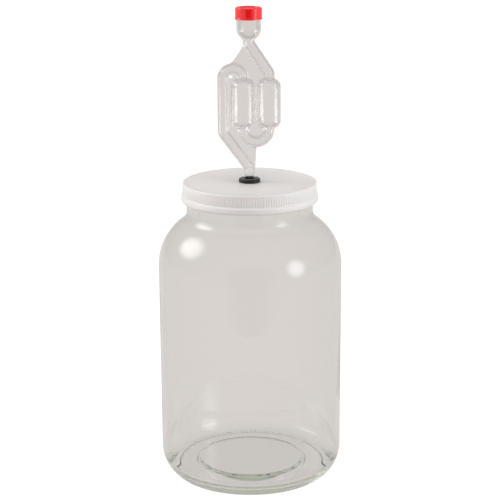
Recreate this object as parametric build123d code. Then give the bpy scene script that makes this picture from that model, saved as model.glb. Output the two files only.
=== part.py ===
from build123d import *
import os
from math import cos, pi, sin, sqrt

# One-gallon wide-mouth fermenting jar: a glass jar, a ribbed screw lid with a foam seal
# disc under it, a rubber grommet in the lid's centre hole, and a twin-chamber airlock
# with a push-on vented cap.
# Millimetres, +Z up, origin at the centre of the jar's footprint. Everything round
# shares the Z axis except the airlock's tubes and chambers, which lie in the XZ plane.
# Profiles are drawn as (radius, height) and turned about Z.

# Glass jar
JAR_RADIUS = 77.4
GLASS_WALL = 2.6
HEEL_RADIUS = 27.4
HEEL_TOP_Z = 21.3
SHOULDER_Z = 183.5
SHOULDER_RADIUS = 46.0
NECK_RADIUS = 53.1
NECK_FILLET = 10.0
MOUTH_RADIUS = 49.5
RIM_Z = 251.3
RIM_ROUND = 1.2
FLOOR_Z = 6.5
FLOOR_CORNER_RADIUS = 9.0
BEARING_WIDTH = 4.0
BASE_RECESS = 1.0
RECESS_SLOPE = 2.0
PUSH_UP_RADIUS = 45.5
PUSH_UP_HEIGHT = 3.5
PUSH_UP_SLOPE = 5.0

# Single-start right-hand thread between neck and lid
THREAD_PITCH = 5.08
THREAD_ROOTING = 0.5
GLASS_THREAD_Z = 243.2
GLASS_THREAD_CREST = 54.6
GLASS_THREAD_WIDTHS = (2.6, 1.4)
LID_THREAD_DROP = 2.0
LID_THREAD_CREST = 53.55
LID_THREAD_WIDTHS = (2.0, 1.0)
LID_THREAD_START_TURN = -0.125

# Screw lid
LID_TOP_Z = 254.3
LID_FACE_Z = 253.8
LID_PLATE = 1.5
LID_BOTTOM_Z = 238.2
LID_BORE_RADIUS = 54.95
LID_LEAD_IN_RADIUS = 55.35
LID_LEAD_IN_Z = 239.4
LID_BAND_RADIUS = 56.3
LID_EDGE_ROUND = 1.1
LID_RIM_WIDTH = 2.2
LID_RIM_SLOPE = 0.5
RIB_TOP_Z = 251.4
RIB_BOTTOM_Z = 244.6
RIB_VALLEY_RADIUS = 56.1
RIB_CREST_RADIUS = 56.45
RIB_COUNT = 160
RIB_FILL = 0.62
RIB_ROOTING = 0.5
LID_SKIRT_RADIUS = 57.55
LID_SKIRT_FLARE = 1.6
LID_SKIRT_ROUND = 1.8
GROMMET_HOLE_RADIUS = 6.35

# Seal disc
LINER_RADIUS = 54.7
LINER_THICKNESS = LID_FACE_Z - LID_PLATE - RIM_Z
LINER_HOLE_RADIUS = 10.0

# Grommet
GROMMET_FLANGE_RADIUS = 9.0
GROMMET_TOP = 3.3
GROMMET_FOOT = 2.8
GROMMET_ROUND = 1.35
GROMMET_CLEARANCE = 0.05

# Airlock, in the XZ plane
AIRLOCK_WALL = 1.0
STEM_RADIUS = 4.75
STEM_TIP_Z = 231.4
STEM_TOP_Z = 262.4
TUBE_RADIUS = 4.5
BEND_RADIUS = 6.0
LOWER_BEND_Z = 266.2
LEFT_TUBE_X = -21.7
LEFT_BEND_Z = 295.3
LEFT_CHAMBER_X = -4.9
RIGHT_CHAMBER_X = 16.3
CHAMBER_RADIUS = 9.9
CHAMBER_WALL_Z = (305.9, 333.7)
CHAMBER_TAPER = 6.6
UPPER_LOOP_Z = 340.4
LOWER_LOOP_Z = 298.2
RISER_RADIUS = 4.9
RISER_BEND_Z = 345.1
NECK_BEND_Z = 369.5
RISER_OVERLAP = 2.0
BOWL_BOTTOM_Z = 372.5
BOWL_TOP_Z = 381.9
CUP_RADIUS = 10.1
CUP_RIM_Z = 397.3
BORE_RUN_OUT = 1.0
WEB_THICKNESS = 1.2
WEB_LEFT_EDGE = ((-5.1, 366.4), (-8.9, 359.9), (-14.2, 353.2))
WEB_RIGHT_EDGE = ((4.5, 265.7), (4.9, 274.0))

# Airlock cap
CAP_RADIUS = 11.05
CAP_BOTTOM_Z = 389.2
CAP_TOP_Z = 399.0
CAP_PLATE = 0.9
CAP_DISH_RADIUS = 9.3
CAP_DISH_SLOPE = 0.5
CAP_BORE_CLEARANCE = 0.1
CAP_EDGE_ROUND = 1.3
CAP_BEAD_HEIGHT = 1.4
CAP_BEAD_STANDOUT = 0.25
VENT_COUNT = 4
VENT_RADIUS = 0.6
VENT_CIRCLE_RADIUS = 5.0


def turned(draw_profile):
    """Solid turned about Z from a profile that draw_profile draws, closed on itself."""
    with BuildPart() as solid:
        with BuildSketch(Plane.XZ):
            with BuildLine():
                draw_profile()
            make_face()
        revolve(axis=Axis.Z)
    return solid.part


def rounded_ring(inner, outer, bottom, top, corner):
    """Ring of rectangular section whose two outer edges are rounded."""
    ring = Pos(0, 0, bottom) * extrude(Circle(outer) - Circle(inner), top - bottom)
    outer_edges = ring.edges().filter_by(GeomType.CIRCLE).sort_by(SortBy.RADIUS)[-2:]
    return fillet(outer_edges, corner)


def neck_fillet(shoulder_radius, neck_radius, fillet_radius):
    """Where an arc leaves the shoulder and where it meets the upright neck."""
    shoulder_centre = JAR_RADIUS - SHOULDER_RADIUS
    run = neck_radius + fillet_radius - shoulder_centre
    rise = sqrt((shoulder_radius + fillet_radius) ** 2 - run**2)
    share = shoulder_radius / (shoulder_radius + fillet_radius)
    on_shoulder = (shoulder_centre + run * share, SHOULDER_Z + rise * share)
    return on_shoulder, (neck_radius, SHOULDER_Z + rise)


def jar_profile():
    heel_centre = JAR_RADIUS - HEEL_RADIUS
    bearing_edge = heel_centre + sqrt(HEEL_RADIUS**2 - HEEL_TOP_Z**2)
    bearing_inner = bearing_edge - BEARING_WIDTH
    shoulder_end, neck_start = neck_fillet(SHOULDER_RADIUS, NECK_RADIUS, NECK_FILLET)
    inner_end, mouth_start = neck_fillet(
        SHOULDER_RADIUS - GLASS_WALL, MOUTH_RADIUS, NECK_FILLET + NECK_RADIUS - MOUTH_RADIUS
    )
    inner_radius = JAR_RADIUS - GLASS_WALL
    floor_edge = inner_radius - FLOOR_CORNER_RADIUS
    floor_corner_z = FLOOR_Z + FLOOR_CORNER_RADIUS
    raised_floor_z = FLOOR_Z + PUSH_UP_HEIGHT - BASE_RECESS
    # Underside, from the centre out: push-up, shallow recess, bearing ring.
    push_up_edge = (PUSH_UP_RADIUS - PUSH_UP_SLOPE / 2, PUSH_UP_HEIGHT)
    push_up_foot = (PUSH_UP_RADIUS + PUSH_UP_SLOPE / 2, BASE_RECESS)
    Line((0, PUSH_UP_HEIGHT), push_up_edge)
    Spline(push_up_edge, push_up_foot, tangents=((1, 0), (1, 0)))
    Polyline(
        push_up_foot, (bearing_inner - RECESS_SLOPE, BASE_RECESS),
        (bearing_inner, 0), (bearing_edge, 0),
    )
    # Outside, going up.
    heel = TangentArc((JAR_RADIUS, HEEL_TOP_Z), (bearing_edge, 0), tangent=(0, -1))
    Line(heel @ 0, (JAR_RADIUS, SHOULDER_Z))
    shoulder = TangentArc((JAR_RADIUS, SHOULDER_Z), shoulder_end, tangent=(0, 1))
    TangentArc(shoulder_end, neck_start, tangent=shoulder % 1)
    Line(neck_start, (NECK_RADIUS, RIM_Z - RIM_ROUND))
    TangentArc(
        (NECK_RADIUS, RIM_Z - RIM_ROUND), (NECK_RADIUS - RIM_ROUND, RIM_Z), tangent=(0, 1)
    )
    Line((NECK_RADIUS - RIM_ROUND, RIM_Z), (MOUTH_RADIUS + RIM_ROUND, RIM_Z))
    # Inside, going down.
    TangentArc(
        (MOUTH_RADIUS + RIM_ROUND, RIM_Z), (MOUTH_RADIUS, RIM_Z - RIM_ROUND), tangent=(-1, 0)
    )
    Line((MOUTH_RADIUS, RIM_Z - RIM_ROUND), mouth_start)
    inner_shoulder = TangentArc((inner_radius, SHOULDER_Z), inner_end, tangent=(0, 1))
    TangentArc(inner_end, mouth_start, tangent=inner_shoulder % 1)
    Line((inner_radius, SHOULDER_Z), (inner_radius, floor_corner_z))
    TangentArc((inner_radius, floor_corner_z), (floor_edge, FLOOR_Z), tangent=(0, -1))
    Line((floor_edge, FLOOR_Z), (push_up_foot[0], FLOOR_Z))
    Spline(
        (push_up_foot[0], FLOOR_Z), (push_up_edge[0], raised_floor_z), tangents=((-1, 0), (-1, 0))
    )
    Polyline((push_up_edge[0], raised_floor_z), (0, raised_floor_z), (0, PUSH_UP_HEIGHT))


def thread_ridge(wall_radius, crest_radius, widths, start_z, start_turn):
    """One turn of helical ridge of trapezoid section, rising anticlockwise about Z.

    start_z is the ridge's height at angle zero. Its root lies THREAD_ROOTING inside the
    wall, and widths are those of the root and the crest.
    """
    into_wall = THREAD_ROOTING if wall_radius > crest_radius else -THREAD_ROOTING
    root_radius = wall_radius + into_wall
    depth = crest_radius - root_radius
    root_width, crest_width = widths
    helix = Helix(THREAD_PITCH, THREAD_PITCH, root_radius)
    section_plane = Plane(helix @ 0, x_dir=(1, 0, 0), z_dir=helix % 0)
    outline = Polyline(
        (0, -root_width / 2), (depth, -crest_width / 2),
        (depth, crest_width / 2), (0, root_width / 2), close=True,
    )
    ridge = sweep(section_plane * make_face(outline), path=helix, is_frenet=True)
    lift = start_z + THREAD_PITCH * start_turn
    return Pos(0, 0, lift) * Rot(0, 0, 360 * start_turn) * ridge


def glass_jar():
    thread = thread_ridge(
        NECK_RADIUS, GLASS_THREAD_CREST, GLASS_THREAD_WIDTHS, GLASS_THREAD_Z, start_turn=0
    )
    return turned(jar_profile) + thread


def rib_ring():
    """Ring with upright half-round ribs round its outside."""
    step = 2 * pi / RIB_COUNT

    def at(radius, turn):
        return (radius * cos(turn * step), radius * sin(turn * step))

    with BuildPart() as ring:
        with BuildSketch(Plane.XY.offset(RIB_BOTTOM_Z)):
            with BuildLine():
                for rib in range(RIB_COUNT):
                    start = at(RIB_VALLEY_RADIUS, rib)
                    end = at(RIB_VALLEY_RADIUS, rib + RIB_FILL)
                    ThreePointArc(start, at(RIB_CREST_RADIUS, rib + RIB_FILL / 2), end)
                    Line(end, at(RIB_VALLEY_RADIUS, rib + 1))
            make_face()
            Circle(RIB_VALLEY_RADIUS - RIB_ROOTING, mode=Mode.SUBTRACT)
        extrude(amount=RIB_TOP_Z - RIB_BOTTOM_Z)
    return ring.part


def lid_shell_profile():
    flare_z = RIB_BOTTOM_Z - LID_SKIRT_FLARE
    underside = LID_FACE_Z - LID_PLATE
    rim_inner = LID_BAND_RADIUS - LID_RIM_WIDTH
    edge_start = (LID_BAND_RADIUS, LID_TOP_Z - LID_EDGE_ROUND)
    edge_end = (LID_BAND_RADIUS - LID_EDGE_ROUND, LID_TOP_Z)
    round_start = (LID_SKIRT_RADIUS, LID_BOTTOM_Z + LID_SKIRT_ROUND)
    round_end = (LID_SKIRT_RADIUS - LID_SKIRT_ROUND, LID_BOTTOM_Z)
    Polyline(
        (GROMMET_HOLE_RADIUS, underside), (LID_BORE_RADIUS, underside),
        (LID_BORE_RADIUS, LID_LEAD_IN_Z), (LID_LEAD_IN_RADIUS, LID_BOTTOM_Z), round_end,
    )
    TangentArc(round_start, round_end, tangent=(0, -1))
    Line(round_start, (LID_SKIRT_RADIUS, flare_z))
    Spline(
        (LID_SKIRT_RADIUS, flare_z), (RIB_VALLEY_RADIUS, RIB_BOTTOM_Z),
        tangents=((0, 1), (0, 1)),
    )
    Polyline(
        (RIB_VALLEY_RADIUS, RIB_BOTTOM_Z), (RIB_VALLEY_RADIUS, RIB_TOP_Z),
        (LID_BAND_RADIUS, RIB_TOP_Z), edge_start,
    )
    TangentArc(edge_start, edge_end, tangent=(0, 1))
    Polyline(
        edge_end, (rim_inner + LID_RIM_SLOPE, LID_TOP_Z), (rim_inner, LID_FACE_Z),
        (GROMMET_HOLE_RADIUS, LID_FACE_Z), (GROMMET_HOLE_RADIUS, underside),
    )


def screw_lid():
    thread = thread_ridge(
        LID_BORE_RADIUS, LID_THREAD_CREST, LID_THREAD_WIDTHS,
        GLASS_THREAD_Z - LID_THREAD_DROP, LID_THREAD_START_TURN,
    )
    return turned(lid_shell_profile) + rib_ring() + thread


def lid_liner():
    disc = Circle(LINER_RADIUS) - Circle(LINER_HOLE_RADIUS)
    return Pos(0, 0, RIM_Z) * extrude(disc, LINER_THICKNESS)


def grommet():
    """Two flanges joined by a thin neck through the lid's hole, bored for the stem."""
    bore = STEM_RADIUS + GROMMET_CLEARANCE
    underside = LID_FACE_Z - LID_PLATE
    top_flange = rounded_ring(
        bore, GROMMET_FLANGE_RADIUS, LID_FACE_Z, LID_FACE_Z + GROMMET_TOP, GROMMET_ROUND
    )
    foot = rounded_ring(
        bore, GROMMET_FLANGE_RADIUS, underside - GROMMET_FOOT, underside, GROMMET_ROUND
    )
    neck_ring = Circle(GROMMET_HOLE_RADIUS - GROMMET_CLEARANCE) - Circle(bore)
    neck = Pos(0, 0, underside) * extrude(neck_ring, LID_PLATE)
    return top_flange + neck + foot


def bar(path, radius):
    """Round bar along a path in the XZ plane."""
    return sweep(Plane(path @ 0, z_dir=path % 0) * Circle(radius), path=path)


def stem_to_left_chamber(radius):
    """Up from the stem, out to the left, up, and over the top loop."""
    loop_radius = (LEFT_CHAMBER_X - LEFT_TUBE_X) / 2
    with BuildLine(Plane.XZ) as path:
        FilletPolyline(
            (0, STEM_TOP_Z), (0, LOWER_BEND_Z), (LEFT_TUBE_X, LEFT_BEND_Z),
            (LEFT_TUBE_X, UPPER_LOOP_Z), radius=BEND_RADIUS,
        )
        ThreePointArc(
            (LEFT_TUBE_X, UPPER_LOOP_Z),
            (LEFT_TUBE_X + loop_radius, UPPER_LOOP_Z + loop_radius),
            (LEFT_CHAMBER_X, UPPER_LOOP_Z),
        )
        Line((LEFT_CHAMBER_X, UPPER_LOOP_Z), (LEFT_CHAMBER_X, CHAMBER_WALL_Z[1]))
    return bar(path.line, radius)


def lower_loop(radius):
    """From the foot of one chamber round to the foot of the other."""
    loop_radius = (RIGHT_CHAMBER_X - LEFT_CHAMBER_X) / 2
    with BuildLine(Plane.XZ) as path:
        Line((LEFT_CHAMBER_X, CHAMBER_WALL_Z[0]), (LEFT_CHAMBER_X, LOWER_LOOP_Z))
        ThreePointArc(
            (LEFT_CHAMBER_X, LOWER_LOOP_Z),
            (LEFT_CHAMBER_X + loop_radius, LOWER_LOOP_Z - loop_radius),
            (RIGHT_CHAMBER_X, LOWER_LOOP_Z),
        )
        Line((RIGHT_CHAMBER_X, LOWER_LOOP_Z), (RIGHT_CHAMBER_X, CHAMBER_WALL_Z[0]))
    return bar(path.line, radius)


def riser(radius):
    """From the right chamber's top, back to the middle and up into the cup."""
    with BuildLine(Plane.XZ) as path:
        FilletPolyline(
            (RIGHT_CHAMBER_X, CHAMBER_WALL_Z[1]), (RIGHT_CHAMBER_X, RISER_BEND_Z),
            (0, NECK_BEND_Z), (0, BOWL_BOTTOM_Z + RISER_OVERLAP), radius=BEND_RADIUS,
        )
    return bar(path.line, radius)


def chamber(x, inset):
    """Upright chamber whose rounded ends draw in to the tubes' size."""
    low, high = CHAMBER_WALL_Z
    wall_radius = CHAMBER_RADIUS - inset
    end_radius = TUBE_RADIUS - inset
    taper = CHAMBER_TAPER - inset / 2

    def profile():
        Line((wall_radius, low), (wall_radius, high))
        TangentArc((wall_radius, high), (end_radius, high + taper), tangent=(0, 1))
        Polyline(
            (end_radius, high + taper), (0, high + taper), (0, low - taper),
            (end_radius, low - taper),
        )
        TangentArc((wall_radius, low), (end_radius, low - taper), tangent=(0, -1))

    return Pos(x, 0, 0) * turned(profile)


def cup(inset, rim_z):
    """Open cup on top, with a round bowl that draws in to the riser."""
    wall_radius = CUP_RADIUS - inset
    neck = RISER_RADIUS - inset
    bottom = BOWL_BOTTOM_Z + inset / 2

    def profile():
        Line((wall_radius, rim_z), (wall_radius, BOWL_TOP_Z))
        TangentArc((wall_radius, BOWL_TOP_Z), (neck, bottom), tangent=(0, -1))
        Polyline((neck, bottom), (0, bottom), (0, rim_z), (wall_radius, rim_z))

    return turned(profile)


def stem(radius, tip_z):
    return Pos(0, 0, tip_z) * extrude(Circle(radius), STEM_TOP_Z - tip_z)


def passage(inset, run_out):
    """The airlock's whole tube run, its surface inset from the outside by a given wall.

    run_out carries both of its ends on past the stem's tip and the cup's rim.
    """
    return (
        stem(STEM_RADIUS - inset, STEM_TIP_Z - run_out)
        + stem_to_left_chamber(TUBE_RADIUS - inset)
        + chamber(LEFT_CHAMBER_X, inset)
        + lower_loop(TUBE_RADIUS - inset)
        + chamber(RIGHT_CHAMBER_X, inset)
        + riser(RISER_RADIUS - inset)
        + cup(inset, CUP_RIM_Z + run_out)
    )


def web():
    """Thin sheet that ties the tubes and chambers together in their common plane."""
    loop_radius = (RIGHT_CHAMBER_X - LEFT_CHAMBER_X) / 2
    loop_middle = LEFT_CHAMBER_X + loop_radius
    loop_bottom = (loop_middle, LOWER_LOOP_Z - loop_radius)
    loop_side = (
        loop_middle + loop_radius * cos(pi / 4), LOWER_LOOP_Z - loop_radius * sin(pi / 4)
    )
    upper_middle = (LEFT_TUBE_X + LEFT_CHAMBER_X) / 2
    left_high, left_hollow, left_low = WEB_LEFT_EDGE
    right_low, right_hollow = WEB_RIGHT_EDGE
    with BuildPart() as sheet:
        with BuildSketch(Plane.XZ):
            with BuildLine():
                Line((0, NECK_BEND_Z), left_high)
                ThreePointArc(left_high, left_hollow, left_low)
                Polyline(
                    left_low, (upper_middle, UPPER_LOOP_Z), (LEFT_TUBE_X, UPPER_LOOP_Z),
                    (LEFT_TUBE_X, LEFT_BEND_Z), (0, LOWER_BEND_Z), right_low,
                )
                ThreePointArc(right_low, right_hollow, loop_bottom)
                ThreePointArc(loop_bottom, loop_side, (RIGHT_CHAMBER_X, LOWER_LOOP_Z))
                Polyline(
                    (RIGHT_CHAMBER_X, LOWER_LOOP_Z), (RIGHT_CHAMBER_X, RISER_BEND_Z),
                    (0, NECK_BEND_Z),
                )
            make_face()
        extrude(amount=WEB_THICKNESS / 2, both=True)
    return sheet.part


def airlock_body():
    return passage(inset=0, run_out=0) + web() - passage(AIRLOCK_WALL, BORE_RUN_OUT)


def airlock_cap():
    """Push-on cap, its plate resting on the cup's rim, with vent holes in the plate."""
    bore = CUP_RADIUS + CAP_BORE_CLEARANCE
    plate_top = CUP_RIM_Z + CAP_PLATE
    bead_radius = CAP_RADIUS + CAP_BEAD_STANDOUT
    bead_top = CAP_BOTTOM_Z + CAP_BEAD_HEIGHT

    def profile():
        edge_start = (CAP_RADIUS, CAP_TOP_Z - CAP_EDGE_ROUND)
        edge_end = (CAP_RADIUS - CAP_EDGE_ROUND, CAP_TOP_Z)
        Polyline((bore, CAP_BOTTOM_Z), (CAP_RADIUS, CAP_BOTTOM_Z))
        ThreePointArc(
            (CAP_RADIUS, CAP_BOTTOM_Z), (bead_radius, (CAP_BOTTOM_Z + bead_top) / 2),
            (CAP_RADIUS, bead_top),
        )
        Line((CAP_RADIUS, bead_top), edge_start)
        TangentArc(edge_start, edge_end, tangent=(0, 1))
        Polyline(
            edge_end, (CAP_DISH_RADIUS, CAP_TOP_Z), (CAP_DISH_RADIUS - CAP_DISH_SLOPE, plate_top),
            (0, plate_top), (0, CUP_RIM_Z), (bore, CUP_RIM_Z), (bore, CAP_BOTTOM_Z),
        )

    vent = extrude(Circle(VENT_RADIUS), CAP_PLATE, both=True)
    vents = [
        Pos(0, 0, CUP_RIM_Z) * place * vent
        for place in PolarLocations(VENT_CIRCLE_RADIUS, VENT_COUNT)
    ]
    return turned(profile) - vents


NODES = {
    "glass_jar": glass_jar,
    "screw_lid": screw_lid,
    "lid_liner": lid_liner,
    "grommet": grommet,
    "airlock_body": airlock_body,
    "airlock_cap": airlock_cap,
}

os.makedirs("parts", exist_ok=True)
for name, build in NODES.items():
    export_step(build(), f"parts/{name}.step")
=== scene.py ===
import math

import bpy
import numpy as np
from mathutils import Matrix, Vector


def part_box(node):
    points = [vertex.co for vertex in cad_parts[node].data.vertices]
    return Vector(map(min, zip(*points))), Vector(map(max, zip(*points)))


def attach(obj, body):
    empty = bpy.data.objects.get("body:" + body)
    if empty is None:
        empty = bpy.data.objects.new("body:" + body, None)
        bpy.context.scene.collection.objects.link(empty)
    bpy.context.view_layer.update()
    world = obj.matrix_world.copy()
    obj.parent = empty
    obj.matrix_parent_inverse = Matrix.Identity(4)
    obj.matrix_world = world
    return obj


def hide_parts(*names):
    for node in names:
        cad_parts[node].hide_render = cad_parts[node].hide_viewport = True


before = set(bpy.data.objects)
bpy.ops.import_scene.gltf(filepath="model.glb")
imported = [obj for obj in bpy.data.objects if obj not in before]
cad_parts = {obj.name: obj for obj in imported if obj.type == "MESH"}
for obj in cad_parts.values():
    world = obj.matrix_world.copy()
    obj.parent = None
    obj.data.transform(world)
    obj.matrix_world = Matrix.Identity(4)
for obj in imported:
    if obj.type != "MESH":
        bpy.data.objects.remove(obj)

import openvdb
from mathutils import Quaternion, Vector

# One-gallon wide-mouth fermenting jar with a ribbed screw lid, grommet and airlock.
# Shapes are drawn in millimetres, on the CAD model's sizes, and made in metres.
# Lengths that differ by less than SAME count as equal.
MM, SAME = 0.001, 1e-6
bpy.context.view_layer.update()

# Glass jar
JAR_RADIUS, GLASS_WALL = 77.4, 2.6
HEEL_RADIUS, HEEL_TOP_Z = 27.4, 21.3
SHOULDER_Z, SHOULDER_RADIUS = 183.5, 46.0
NECK_RADIUS, NECK_FILLET, MOUTH_RADIUS = 53.1, 10.0, 49.5
RIM_Z, RIM_ROUND = 251.3, 1.2
FLOOR_Z, FLOOR_CORNER_RADIUS = 6.5, 9.0
BEARING_WIDTH, BASE_RECESS, RECESS_SLOPE = 4.0, 1.0, 2.0
PUSH_UP_RADIUS, PUSH_UP_HEIGHT, PUSH_UP_SLOPE = 45.5, 3.5, 5.0
JAR_SEGMENTS = 384
STIPPLE_COUNT, STIPPLE_DEPTH, STIPPLE_MARGIN = 96, 0.12, 0.3
SEAM_HEIGHT = 0.12
GLASS_WAVE, GLASS_WAVE_FADE = 0.16, 25

# Thread
THREAD_PITCH = 5.08
GLASS_THREAD_Z, GLASS_THREAD_CREST, GLASS_THREAD_HALVES = 243.2, 54.6, (0.7, 1.15)
THREAD_ZONE = (241.0, 250.0)
LID_THREAD_Z, LID_THREAD_CREST, LID_THREAD_HALVES = 241.2, 53.55, (0.5, 0.87)
LID_THREAD_ZONE = (239.4, 247.4)
LID_THREAD_START_TURN = -0.125
THREAD_END_TURNS = 0.03

# Screw lid
LID_TOP_Z, LID_FACE_Z, LID_PLATE, LID_BOTTOM_Z = 254.3, 253.8, 1.5, 238.2
LID_BORE_RADIUS, LID_LEAD_IN_RADIUS, LID_LEAD_IN_Z = 54.95, 55.35, 239.4
LID_BAND_RADIUS, LID_EDGE_ROUND = 56.3, 1.1
LID_RIM_WIDTH, LID_RIM_SLOPE = 2.2, 0.5
RIB_TOP_Z, RIB_BOTTOM_Z = 251.4, 244.6
RIB_VALLEY_RADIUS, RIB_CREST_RADIUS = 56.1, 56.45
RIB_COUNT, RIB_FILL, RIB_SEGMENTS, RIB_END, RIB_STEP = 160, 0.62, 6, 0.5, 0.15
LID_SKIRT_RADIUS, LID_SKIRT_FLARE, LID_SKIRT_ROUND = 57.55, 1.6, 1.8
GROMMET_HOLE_RADIUS, HOLE_CHAMFER = 6.35, 0.3

# Grommet
GROMMET_FLANGE_RADIUS, GROMMET_BORE, GROMMET_NECK = 9.0, 4.8, 6.3
GROMMET_TOP, GROMMET_FOOT, GROMMET_ROUND = 3.3, 2.8, 1.35
GROMMET_LIP, GROMMET_SEAT_ROUND = 0.5, 0.3
GROMMET_SEGMENTS = 96

# Airlock
AIRLOCK_WALL, STEM_RADIUS, STEM_TIP_Z, STEM_TOP_Z = 1.0, 4.75, 231.4, 262.4
TUBE_RADIUS, RISER_RADIUS, BEND_RADIUS = 4.5, 4.9, 6.0
LOWER_BEND_Z, LEFT_TUBE_X, LEFT_BEND_Z = 266.2, -21.7, 295.3
LEFT_CHAMBER_X, RIGHT_CHAMBER_X, CHAMBER_RADIUS = -4.9, 16.3, 9.9
CHAMBER_WALL_Z, CHAMBER_TAPER = (305.9, 333.7), 6.6
UPPER_LOOP_Z, LOWER_LOOP_Z = 340.4, 298.2
RISER_BEND_Z, NECK_BEND_Z, RISER_OVERLAP = 345.1, 369.5, 2.0
BOWL_BOTTOM_Z, BOWL_TOP_Z, CUP_RADIUS, CUP_RIM_Z = 372.5, 381.9, 10.1, 397.3
WEB_THICKNESS = 1.2
WEB_LEFT_EDGE = ((-5.1, 366.4), (-8.9, 359.9), (-14.2, 353.2))
WEB_RIGHT_EDGE = ((4.5, 265.7), (4.9, 274.0))
VOXEL, VOXEL_MARGIN, VOXEL_BAND = 0.36, 2.0, 3
PASSAGE_BLEND, WEB_BLEND = 1.0, 1.3
RELAX_SHARE, RELAX_ROUNDS = 0.5, 6

# Airlock cap
CAP_RADIUS, CAP_BOTTOM_Z, CAP_TOP_Z, CAP_PLATE = 11.05, 389.2, 399.0, 0.9
CAP_DISH_RADIUS, CAP_DISH_SLOPE = 9.3, 0.5
CAP_BORE_CLEARANCE, CAP_BORE_CHAMFER = 0.1, 0.2
CAP_EDGE_ROUND, CAP_BEAD_HEIGHT, CAP_BEAD_STANDOUT, CAP_BEAD_GAP = 1.3, 1.4, 0.25, 0.3
VENT_COUNT, VENT_RADIUS, VENT_CIRCLE_RADIUS = 4, 0.6, 5.0
CAP_SEGMENTS, VENT_SEGMENTS = 128, 16

# Studio, in metres. Colours and brightnesses are linear.
FLOOR_SIZE, FLOOR_FRONT_EDGE = 4.0, -0.5
FLOOR_SHEET, FLOOR_GLOW = (0.12, 0.117, 0.114, 1), (0.622, 0.585, 0.568, 1)
WALLS, GAP = (0.622, 0.588, 0.576, 1), (0.03, 0.03, 0.03, 1)
GAP_EDGE, GAP_CORE = 0.80, 0.97
WHITE, BACKDROP_STRENGTH = (1, 1, 1, 1), 1.05
LIGHTS_AIM_AT = (0, 0, 0.2)
LIGHT_FADE_START, LIGHT_FADE_END = 0.15, 0.5
ANY_NUMBER = 1000
CAMERA_PLACE, CAMERA_TILT_DEG, CAMERA_ROLL_DEG = (0, -1.23613, 0.52758), 74.922, -0.35
CAMERA_LENS, CAMERA_SENSOR = 108.75, 36.0
LIGHT_BOUNCES = 40


# ---------------------------------------------------------------- profiles and lathes

def line(start, end, steps):
    """Points from start to end, without end."""
    share = np.linspace(0, 1, steps, endpoint=False)[:, None]
    return np.array(start) * (1 - share) + np.array(end) * share


def arc(centre, radius, start_deg, end_deg, steps):
    """Points round an arc, without its end."""
    angle = np.radians(np.linspace(start_deg, end_deg, steps, endpoint=False))
    return np.array(centre) + radius * np.column_stack((np.cos(angle), np.sin(angle)))


def slope(start, end, steps):
    """Points down or up a soft step, level at both ends, without its end."""
    share = np.linspace(0, 1, steps, endpoint=False)
    (r0, z0), (r1, z1) = start, end
    return np.column_stack((r0 + (r1 - r0) * share, z0 + (z1 - z0) * share**2 * (3 - 2 * share)))


def smooth_object(name, vertices, faces, crease_deg):
    """Object with smooth shading that breaks where its faces meet more sharply than crease_deg."""
    mesh = bpy.data.meshes.new(name)
    mesh.from_pydata(vertices, [], faces)
    mesh.validate()
    mesh.shade_smooth()
    mesh.set_sharp_from_angle(angle=math.radians(crease_deg))
    obj = bpy.data.objects.new(name, mesh)
    bpy.context.scene.collection.objects.link(obj)
    return obj


def turned(name, profile, segments, carve=None, crease_deg=40):
    """Object turned about Z from a profile of (radius, height) with its solid on the left.

    A profile that starts and ends on the axis is closed there, and any other is a ring.
    carve(turn, radius, height) gives new radii and heights, for ribs, threads and the like.
    """
    on_axis = profile[0, 0] < SAME
    rows = profile[1:-1] if on_axis else profile
    turn = np.arange(segments) / segments
    radius = np.repeat(rows[:, :1], segments, 1)
    height = np.repeat(rows[:, 1:], segments, 1)
    turns = np.repeat(turn[None, :], len(rows), 0)
    if carve:
        radius, height = carve(turns, radius, height)
    angle = 2 * math.pi * turns
    points = np.stack((radius * np.cos(angle), radius * np.sin(angle), height), -1)
    vertices = points.reshape(-1, 3)
    here = np.arange(len(rows) * segments).reshape(len(rows), segments)
    after = np.roll(here, -1, 1)
    if not on_axis:
        here, after = np.vstack((here, here[:1])), np.vstack((after, after[:1]))
    quads = np.stack((here[:-1], after[:-1], after[1:], here[1:]), -1).reshape(-1, 4)
    faces = quads.tolist()
    if on_axis:
        low, high = len(vertices), len(vertices) + 1
        vertices = np.vstack((vertices, (0, 0, profile[0, 1]), (0, 0, profile[-1, 1])))
        faces += [(low, b, a) for a, b in zip(here[0].tolist(), after[0].tolist())]
        faces += [(high, a, b) for a, b in zip(here[-1].tolist(), after[-1].tolist())]
    return smooth_object(name, (vertices * MM).tolist(), faces, crease_deg)


def ridge(turn, height, start_z, start_turn, halves):
    """How high, from 0 to 1, a one-turn thread ridge stands at each place on a wall."""
    along = (turn - start_turn) % 1
    flat, foot = halves
    off = np.abs(height - (start_z + THREAD_PITCH * (along + start_turn)))
    flank = np.clip((foot - off) / (foot - flat), 0, 1)
    ends = np.clip(np.minimum(along, 1 - along) / THREAD_END_TURNS, 0, 1)
    return flank * ends


# ---------------------------------------------------------------- glass jar

def shoulder(radius, neck, fillet, steps):
    """Up the shoulder and round into the upright neck, and the height where that ends."""
    centre = JAR_RADIUS - SHOULDER_RADIUS
    run = neck + fillet - centre
    rise = math.sqrt((radius + fillet) ** 2 - run**2)
    meet = math.degrees(math.atan2(rise, run))
    up = arc((centre, SHOULDER_Z), radius, 0, meet, steps)
    into_neck = arc((centre + run, SHOULDER_Z + rise), fillet, 180 + meet, 180, steps // 3)
    return np.vstack((up, into_neck)), SHOULDER_Z + rise


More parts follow.
